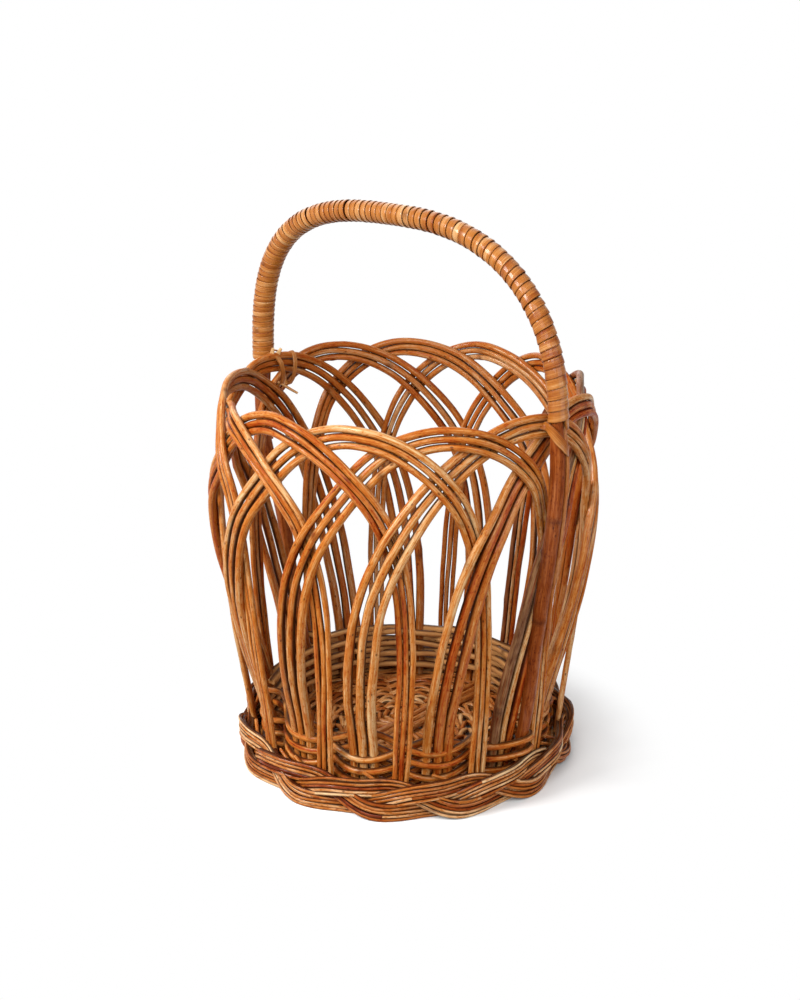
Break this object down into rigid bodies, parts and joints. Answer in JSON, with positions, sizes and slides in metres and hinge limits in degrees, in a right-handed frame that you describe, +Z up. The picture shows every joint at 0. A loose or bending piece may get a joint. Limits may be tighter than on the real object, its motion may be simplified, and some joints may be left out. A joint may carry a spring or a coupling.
{
  "type": "basket",
  "caption": "Round open-sided willow basket with a wall of crossing arches, a plaited foot, a woven floor and a fixed bow handle bound with flat skein.",
  "frame": {"origin": "on the ground at the middle of the plaited foot", "axes": "+Z up; the handle spans along X; +Y completes the frame"},
  "size_m": [0.2134, 0.1984, 0.2893],
  "materials": {
    "arch_willow": "varnished willow rod, satin, warm orange brown",
    "wale_willow": "varnished willow rod, satin, lighter tan",
    "plait_willow": "varnished willow rods in flat bundles, satin",
    "floor_willow": "varnished willow rod, satin, darker brown",
    "handle_willow": "varnished thick rod, satin, dark red brown",
    "skein": "flat split skein, glossy golden brown"
  },
  "bodies": {
    "root": {"arch_01_inner": "arch_willow", "arch_01_middle": "arch_willow", "arch_01_outer": "arch_willow", "arch_02_inner": "arch_willow", "arch_02_middle": "arch_willow", "arch_02_outer": "arch_willow", "arch_03_inner": "arch_willow", "arch_03_middle": "arch_willow", "arch_03_outer": "arch_willow", "arch_04_inner": "arch_willow", "arch_04_middle": "arch_willow", "arch_04_outer": "arch_willow", "arch_05_inner": "arch_willow", "arch_05_middle": "arch_willow", "arch_05_outer": "arch_willow", "arch_06_inner": "arch_willow", "arch_06_middle": "arch_willow", "arch_06_outer": "arch_willow", "arch_07_inner": "arch_willow", "arch_07_middle": "arch_willow", "arch_07_outer": "arch_willow", "arch_08_inner": "arch_willow", "arch_08_middle": "arch_willow", "arch_08_outer": "arch_willow", "arch_09_inner": "arch_willow", "arch_09_middle": "arch_willow", "arch_09_outer": "arch_willow", "arch_10_inner": "arch_willow", "arch_10_middle": "arch_willow", "arch_10_outer": "arch_willow", "arch_11_inner": "arch_willow", "arch_11_middle": "arch_willow", "arch_11_outer": "arch_willow", "arch_12_inner": "arch_willow", "arch_12_middle": "arch_willow", "arch_12_outer": "arch_willow", "arch_13_inner": "arch_willow", "arch_13_middle": "arch_willow", "arch_13_outer": "arch_willow", "wale_weaver_1": "wale_willow", "wale_weaver_2": "wale_willow", "wale_weaver_3": "wale_willow", "plait_strand_1": "plait_willow", "plait_strand_2": "plait_willow", "plait_strand_3": "plait_willow", "floor_stick_under_1": "floor_willow", "floor_stick_over_1": "floor_willow", "floor_stick_under_2": "floor_willow", "floor_stick_over_2": "floor_willow", "floor_stick_under_3": "floor_willow", "floor_stick_over_3": "floor_willow", "floor_weaver": "floor_willow", "handle_bow": "handle_willow", "handle_companion_inner": "handle_willow", "handle_companion_outer": "handle_willow", "handle_wrap": "skein", "rim_tie_right": "skein", "rim_tie_left": "skein"}
  },
  "joints": []
}
